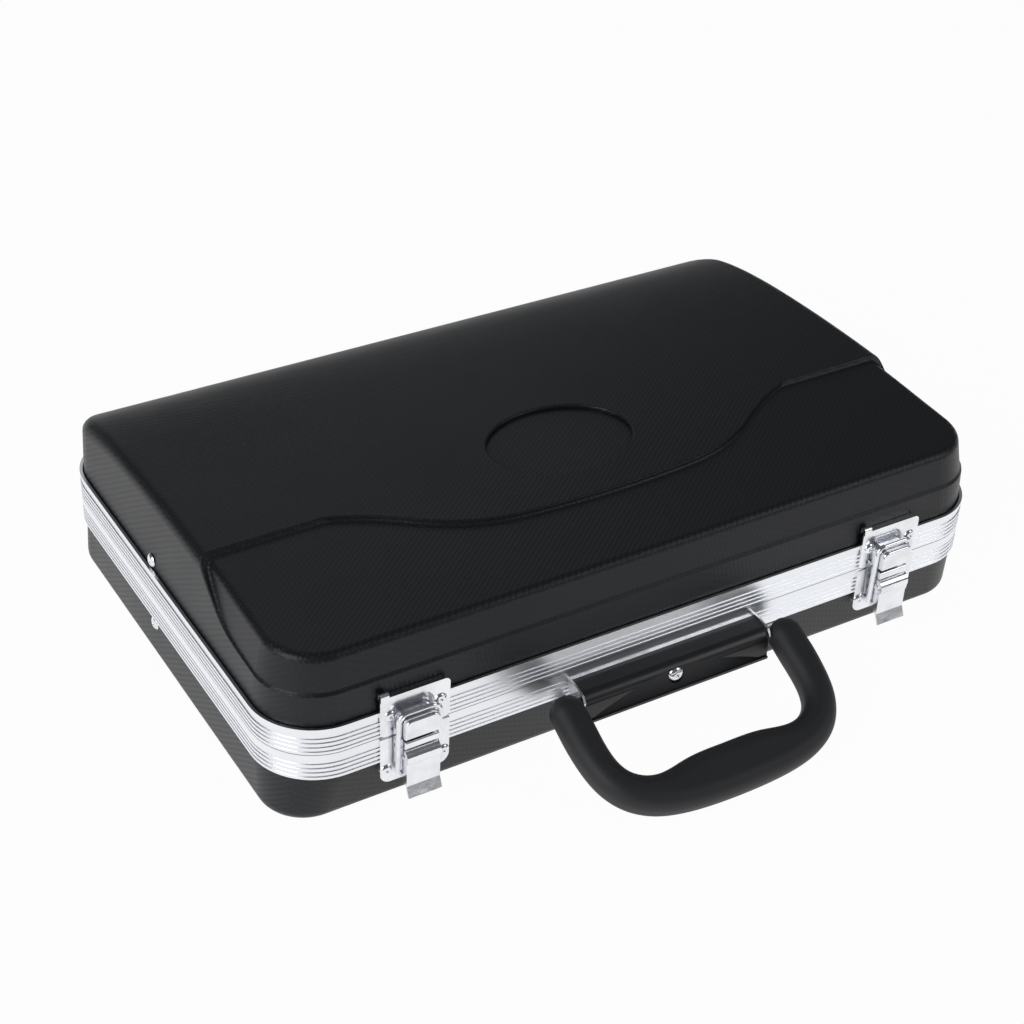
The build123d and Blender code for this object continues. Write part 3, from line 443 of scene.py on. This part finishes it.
def bead_along(name, points, radius, slot, body):
    """Closed round bead of cloth through a ring of points."""
    curve = bpy.data.curves.new(name, "CURVE")
    curve.dimensions = "3D"
    curve.bevel_depth = radius
    curve.bevel_resolution = 3
    line = curve.splines.new("NURBS")
    line.points.add(len(points) - 1)
    for point, place in zip(line.points, points):
        point.co = (*place, 1.0)
    line.order_u = 4
    line.use_cyclic_u = True
    drawn = bpy.data.objects.new(name, curve)
    bpy.context.scene.collection.objects.link(drawn)
    bpy.context.view_layer.update()
    worked = drawn.evaluated_get(bpy.context.evaluated_depsgraph_get())
    mesh = bpy.data.meshes.new_from_object(worked)
    bpy.data.objects.remove(drawn)
    return piece(name, mesh, slot, body)


def pad_plush():
    """Stuffed pad under the crown of the lid, swollen by its filling and piped round its edge."""
    form = bmesh.new()
    form.from_mesh(frame["nodes"]["lid_pad"].data)
    bmesh.ops.remove_doubles(form, verts=form.verts, dist=1e-6)
    low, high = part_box("lid_pad")
    heart = (low + high) / 2
    shrink = [1 - 2 * pad_inset / (high[axis] - low[axis]) for axis in range(3)]
    matrix = Matrix.Translation(heart) @ Matrix.Diagonal((*shrink, 1)) @ Matrix.Translation(-heart)
    bmesh.ops.transform(form, matrix=matrix, verts=form.verts)
    mesh = remeshed("pad_plush", form, pad_voxel, pad_smoothing)
    pad = piece("pad_plush", mesh, "plush_pad", "lid")
    swell(pad)
    rounder = pad.modifiers.new("round", "SUBSURF")
    rounder.levels = rounder.render_levels = 1
    settled(pad)
    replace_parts(pad, "lid_pad")
    return pad, pad_piping(low.z)


def pad_piping(underside):
    """Piping sewn round the lower edge of the lid's pad."""
    form = bmesh.new()
    form.from_mesh(frame["nodes"]["lid_pad"].data)
    bmesh.ops.remove_doubles(form, verts=form.verts, dist=1e-6)
    rest = [face for face in form.faces if face.calc_center_median().z > underside + 0.1 * mm]
    bmesh.ops.delete(form, geom=rest, context="FACES")
    edge = rim_points(form)
    form.free()
    ring = []
    for here, ahead in zip(edge, edge[1:] + edge[:1]):
        steps = max(1, round((ahead - here).length / piping_step))
        ring += [here.lerp(ahead, step / steps) for step in range(steps)]
    middle = sum(ring, Vector()) / len(ring)
    raised = []
    for place in ring:
        inward = (middle - place).normalized() * piping_radius
        raised.append(place + inward + Vector((0, 0, piping_radius)))
    return bead_along("pad_piping", raised, piping_radius, "plush_pad", "lid")


def swell(pad):
    """Lets the filling push the free side of the cover out; the glued back stays where it is."""
    cloth = pad.modifiers.new("filling", "CLOTH")
    cloth.settings.use_pressure = True
    cloth.settings.uniform_pressure_force = pad_pressure
    cloth.settings.effector_weights.gravity = 0.0
    cloth.settings.quality = pad_cloth_steps
    start = [vertex.co.copy() for vertex in pad.data.vertices]
    glued = min(place.z for place in start) + pad_glue_level
    for step in range(1, pad_frames + 1):
        bpy.context.scene.frame_set(step)
    worked = pad.evaluated_get(bpy.context.evaluated_depsgraph_get())
    swollen = [vertex.co.copy() for vertex in worked.data.vertices]
    pad.modifiers.clear()
    for vertex, before, after in zip(pad.data.vertices, start, swollen):
        move = after - before
        if before.z > glued:
            continue
        if move.length > pad_swell_limit:
            move *= pad_swell_limit / move.length
        vertex.co = before + move
    bpy.context.scene.frame_set(1)


nest_plush()
lining_plush()
pad_plush()


# ---------------------------------------------------------------- floor and light
def studio_floor():
    """Plain white floor that shows white and keeps the case's shadow."""
    mesh = bpy.data.meshes.new("floor")
    quarters = ((-1, -1), (1, -1), (1, 1), (-1, 1))
    corners = [(x * floor_reach, y * floor_reach, 0) for x, y in quarters]
    mesh.from_pydata(corners, [], [(0, 1, 2, 3)])
    floor = bpy.data.objects.new("floor", mesh)
    bpy.context.scene.collection.objects.link(floor)
    sheet = Finish("floor_paper", (floor_paper,) * 3, 0.9)
    path = {name: sheet.node("ShaderNodeLightPath", {}, {}, name)
            for name in ("Is Camera Ray", "Is Glossy Ray", "Is Transmission Ray")}
    seen = path["Is Camera Ray"] + path["Is Glossy Ray"] + path["Is Transmission Ray"]
    glow = sheet.node("ShaderNodeEmission", {}, {"Color": (1, 1, 1, 1), "Strength": 1.0})
    share = sheet.math("MINIMUM", seen, 1.0) * floor_glow
    mixed = sheet.node("ShaderNodeMixShader", {}, {0: share})
    join = mixed.socket.node
    sheet.tree.links.new(sheet.shader.outputs[0], join.inputs[1])
    sheet.tree.links.new(glow.socket, join.inputs[2])
    out = sheet.tree.nodes["Material Output"]
    sheet.tree.links.new(mixed.socket, out.inputs["Surface"])
    mesh.materials.append(sheet.material)


def studio_light():
    """Strong soft box on the left, weaker ones on the right and behind, and a dim room."""
    world = bpy.data.worlds.new("room")
    world.use_nodes = True
    ground = world.node_tree.nodes["Background"]
    ground.inputs["Color"].default_value = room_colour
    ground.inputs["Strength"].default_value = room_strength
    bpy.context.scene.world = world
    boxes = {
        "soft_box_left": ((-1.9, -0.6, 1.0), 1.4, 20.0),
        "soft_box_right": ((1.3, -1.3, 1.1), 1.0, 6.0),
        "soft_box_over": ((0.3, 1.5, 1.6), 1.6, 3.0),
    }
    for name, (place, size, power) in boxes.items():
        lamp = bpy.data.lights.new(name, "AREA")
        lamp.shape = "SQUARE"
        lamp.size = size
        lamp.energy = power
        holder = bpy.data.objects.new(name, lamp)
        holder.location = place
        holder.rotation_euler = Vector(place).to_track_quat("Z", "Y").to_euler()
        bpy.context.scene.collection.objects.link(holder)


def camera():
    """Camera above the front left corner, rolled slightly, on a long lens."""
    turn, dip, roll = (math.radians(angle) for angle in (camera_turn, camera_dip, camera_roll))
    level = math.cos(dip)
    ahead = Vector((math.sin(turn) * level, math.cos(turn) * level, -math.sin(dip)))
    right = Vector((math.cos(turn), -math.sin(turn), 0.0))
    upright = right.cross(ahead)
    across = right * math.cos(roll) + upright * math.sin(roll)
    up = upright * math.cos(roll) - right * math.sin(roll)
    lens = bpy.data.cameras.new("camera")
    lens.sensor_width = sensor_width
    lens.lens = focal_share * sensor_width
    holder = bpy.data.objects.new("camera", lens)
    turned = Matrix((across, up, -ahead)).transposed().to_4x4()
    holder.matrix_world = Matrix.Translation(camera_place) @ turned
    bpy.context.scene.collection.objects.link(holder)
    bpy.context.scene.camera = holder


studio_floor()
studio_light()
camera()
bpy.context.scene.view_settings.view_transform = "Standard"
